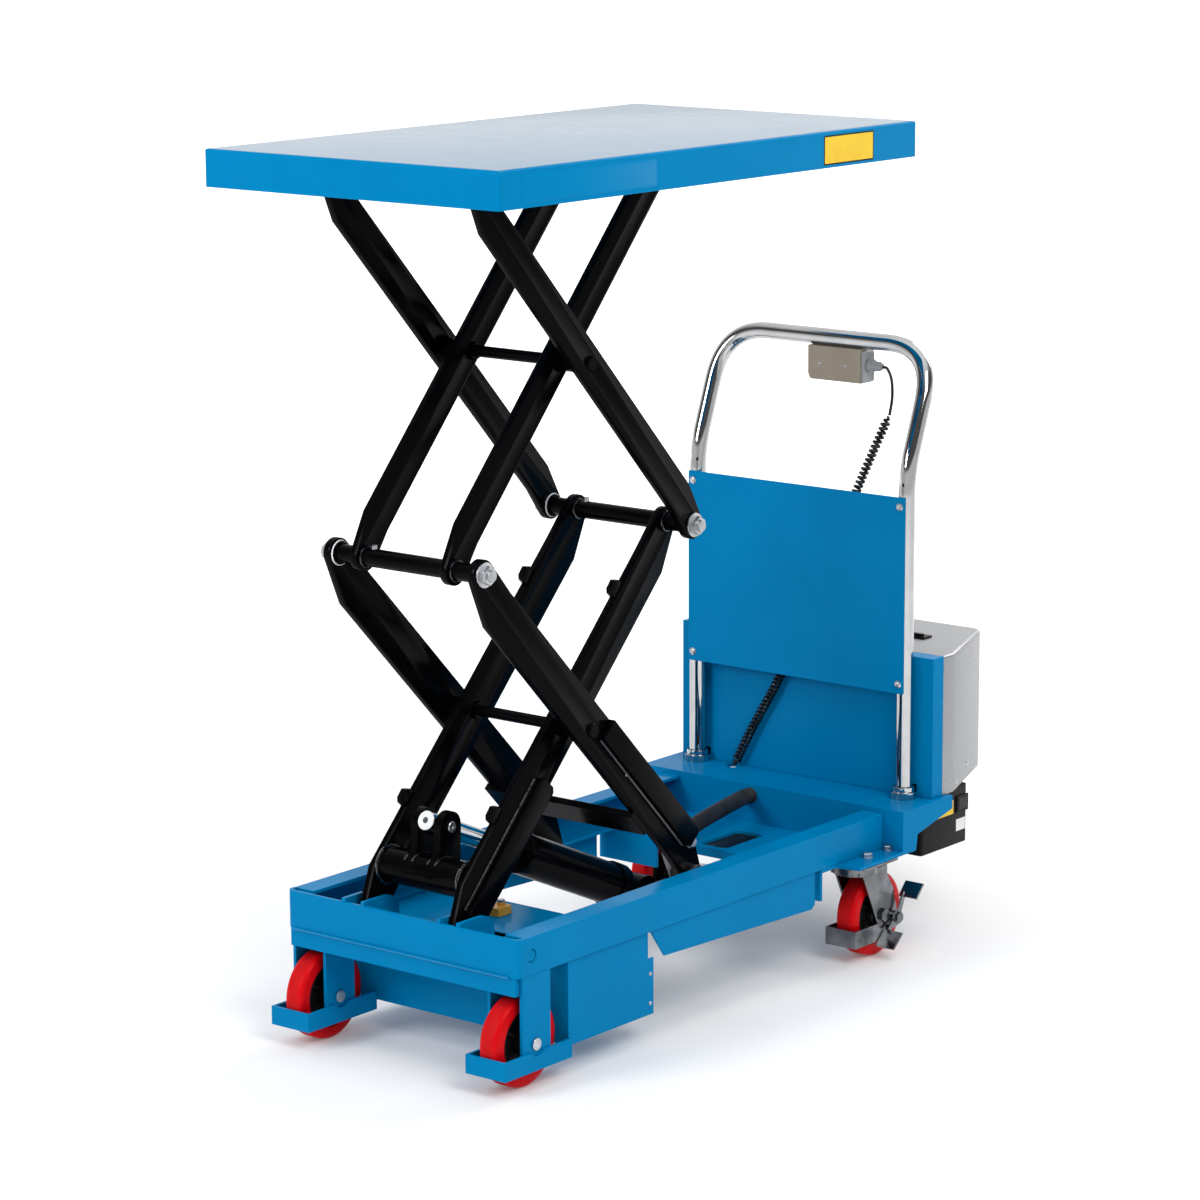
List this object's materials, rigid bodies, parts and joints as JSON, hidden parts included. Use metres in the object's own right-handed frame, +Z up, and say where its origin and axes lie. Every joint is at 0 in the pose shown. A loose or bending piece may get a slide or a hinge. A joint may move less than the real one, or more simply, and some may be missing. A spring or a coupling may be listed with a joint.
{
  "type": "scissor lift table",
  "caption": "Battery hydraulic double-scissor lift trolley: level deck on two stacked pairs of crossed arms, wheeled base, push handle with control pendant.",
  "frame": {"origin": "on the floor, under the centre of the footprint", "axes": "+X to the right seen from the front of the deck, +Y from the deck front edge towards the push handle, +Z up"},
  "size_m": [0.5, 1.219, 1.2161],
  "materials": {
    "blue_paint": "gloss powder coat",
    "black_paint": "semi-gloss black paint",
    "zinc": "bright zinc plate",
    "chrome": "polished chrome",
    "red_tyre": "red polyurethane",
    "grey_paint": "fine textured light grey",
    "beige_plate": "satin painted bracket",
    "grey_plastic": "matt moulded plastic",
    "black_plastic": "matt black plastic",
    "cord_rubber": "smooth black cable sheath",
    "hose_rubber": "ribbed hose sleeve",
    "brass": "machined brass"
  },
  "bodies": {
    "base": {"rail_right": "blue_paint", "rail_left": "blue_paint", "front_beam": "blue_paint", "rear_bridge": "blue_paint", "front_fork_right": "blue_paint", "front_fork_left": "blue_paint", "front_axle_right": "zinc", "front_axle_left": "zinc", "belly_box": "blue_paint", "battery": "black_plastic", "valve_block": "brass", "cylinder_anchor": "black_paint", "push_handle": "chrome", "handle_nut_right": "chrome", "handle_nut_left": "chrome", "front_panel": "blue_paint", "rear_housing": "blue_paint", "rear_cover": "grey_paint", "power_pack": "black_plastic", "charger": "black_plastic", "control_bracket": "beige_plate", "control_box": "grey_plastic", "cord_gland": "grey_plastic", "cord_lead": "cord_rubber", "cord_curly": "cord_rubber", "hydraulic_hose": "hose_rubber", "caster_plate_right": "zinc", "caster_plate_left": "zinc"},
    "front_wheel_right": {"front_wheel_right": "red_tyre"},
    "front_wheel_left": {"front_wheel_left": "red_tyre"},
    "caster_right": {"caster_fork_right": "zinc"},
    "caster_left": {"caster_fork_left": "zinc"},
    "caster_wheel_right": {"caster_wheel_right": "red_tyre"},
    "caster_wheel_left": {"caster_wheel_left": "red_tyre"},
    "caster_pedal_right": {"caster_pedal_right": "zinc"},
    "caster_pedal_left": {"caster_pedal_left": "zinc"},
    "lower_inner": {"lower_inner_arm_right": "black_paint", "lower_inner_arm_left": "black_paint", "torque_tube": "black_paint", "rear_mid_tube": "black_paint", "lower_tie_rod": "black_paint"},
    "lower_outer": {"lower_outer_arm_right": "black_paint", "lower_outer_arm_left": "black_paint", "lower_cross_beam": "black_paint"},
    "upper_outer": {"upper_outer_arm_right": "black_paint", "upper_outer_arm_left": "black_paint"},
    "upper_inner": {"upper_inner_arm_right": "black_paint", "upper_inner_arm_left": "black_paint", "front_mid_tube": "black_paint", "upper_tie_rod": "black_paint", "upper_roller_shaft": "zinc"},
    "platform": {"deck": "blue_paint"},
    "lower_roller_right": {"lower_roller_right": "zinc"},
    "lower_roller_left": {"lower_roller_left": "zinc"},
    "upper_roller_right": {"upper_roller_right": "zinc"},
    "upper_roller_left": {"upper_roller_left": "zinc"},
    "rod": {"cylinder_rod": "chrome"},
    "barrel": {"cylinder_barrel": "black_paint"},
    "up_button": {"up_button": "black_plastic"},
    "down_button": {"down_button": "black_plastic"}
  },
  "joints": [
    {"name": "lift", "type": "hinge", "parent": "base", "child": "lower_inner", "pos_m": [0, -0.5055, 0.184], "axis": [1, 0, 0], "range_deg": [-41.81, 5.7]},
    {"name": "lower_cross", "type": "hinge", "parent": "lower_inner", "child": "lower_outer", "pos_m": [0, -0.28321, 0.43262], "axis": [1, 0, 0], "range_deg": [-11.5, 83.72]},
    {"name": "rear_knee", "type": "hinge", "parent": "lower_inner", "child": "upper_outer", "pos_m": [0, -0.06092, 0.68123], "axis": [1, 0, 0], "range_deg": [-11.5, 83.72]},
    {"name": "upper_cross", "type": "hinge", "parent": "upper_outer", "child": "upper_inner", "pos_m": [0, -0.28321, 0.92985], "axis": [1, 0, 0], "range_deg": [-83.72, 11.5]},
    {"name": "deck_pivot", "type": "hinge", "parent": "upper_outer", "child": "platform", "pos_m": [0, -0.5055, 1.17846], "axis": [1, 0, 0], "range_deg": [-41.91, 5.8]},
    {"name": "lower_roller_spin_right", "type": "hinge", "parent": "lower_outer", "child": "lower_roller_right", "pos_m": [0.183, -0.06092, 0.184], "axis": [1, 0, 0], "continuous": true},
    {"name": "upper_roller_spin_right", "type": "hinge", "parent": "upper_inner", "child": "upper_roller_right", "pos_m": [0.152, -0.06092, 1.17846], "axis": [1, 0, 0], "continuous": true},
    {"name": "lower_roller_spin_left", "type": "hinge", "parent": "lower_outer", "child": "lower_roller_left", "pos_m": [-0.183, -0.06092, 0.184], "axis": [1, 0, 0], "continuous": true},
    {"name": "upper_roller_spin_left", "type": "hinge", "parent": "upper_inner", "child": "upper_roller_left", "pos_m": [-0.152, -0.06092, 1.17846], "axis": [1, 0, 0], "continuous": true},
    {"name": "rod_swing", "type": "hinge", "parent": "lower_inner", "child": "rod", "pos_m": [0, -0.4555, 0.319], "axis": [1, 0, 0], "range_deg": [-6.28, 45.46]},
    {"name": "cylinder_stroke", "type": "slide", "parent": "rod", "child": "barrel", "axis": [0, 0.9135, -0.4067], "range_m": [-0.09966, 0.01445]},
    {"name": "front_wheel_spin_right", "type": "hinge", "parent": "base", "child": "front_wheel_right", "pos_m": [0.172, -0.4955, 0.0625], "axis": [1, 0, 0], "continuous": true},
    {"name": "caster_swivel_right", "type": "hinge", "parent": "base", "child": "caster_right", "pos_m": [0.19, 0.2465, 0.0625], "axis": [0, 0, 1], "continuous": true},
    {"name": "caster_wheel_spin_right", "type": "hinge", "parent": "caster_right", "child": "caster_wheel_right", "pos_m": [0.19, 0.2825, 0.0625], "axis": [1, 0, 0], "continuous": true},
    {"name": "caster_pedal_hinge_right", "type": "hinge", "parent": "caster_right", "child": "caster_pedal_right", "pos_m": [0.19, 0.3065, 0.055], "axis": [1, 0, 0], "range_deg": [-12, 0]},
    {"name": "front_wheel_spin_left", "type": "hinge", "parent": "base", "child": "front_wheel_left", "pos_m": [-0.172, -0.4955, 0.0625], "axis": [1, 0, 0], "continuous": true},
    {"name": "caster_swivel_left", "type": "hinge", "parent": "base", "child": "caster_left", "pos_m": [-0.19, 0.2465, 0.0625], "axis": [0, 0, 1], "continuous": true},
    {"name": "caster_wheel_spin_left", "type": "hinge", "parent": "caster_left", "child": "caster_wheel_left", "pos_m": [-0.19, 0.2825, 0.0625], "axis": [1, 0, 0], "continuous": true},
    {"name": "caster_pedal_hinge_left", "type": "hinge", "parent": "caster_left", "child": "caster_pedal_left", "pos_m": [-0.19, 0.3065, 0.055], "axis": [1, 0, 0], "range_deg": [-12, 0]},
    {"name": "up_button_press", "type": "slide", "parent": "base", "child": "up_button", "axis": [0, -1, 0], "range_m": [0, 0.003], "stiffness_N_per_m": 400},
    {"name": "down_button_press", "type": "slide", "parent": "base", "child": "down_button", "axis": [0, -1, 0], "range_m": [0, 0.003], "stiffness_N_per_m": 400}
  ],
  "couplings": [
    {"joint": "lower_cross", "follows": "lift", "ratio": -2},
    {"joint": "rear_knee", "follows": "lift", "ratio": -2},
    {"joint": "upper_cross", "follows": "lift", "ratio": 2},
    {"joint": "deck_pivot", "follows": "lift", "ratio": 1},
    {"joint": "rod_swing", "follows": "lift", "ratio": -1.085},
    {"joint": "cylinder_stroke", "follows": "lift", "m_per_rad": 0.1352}
  ]
}
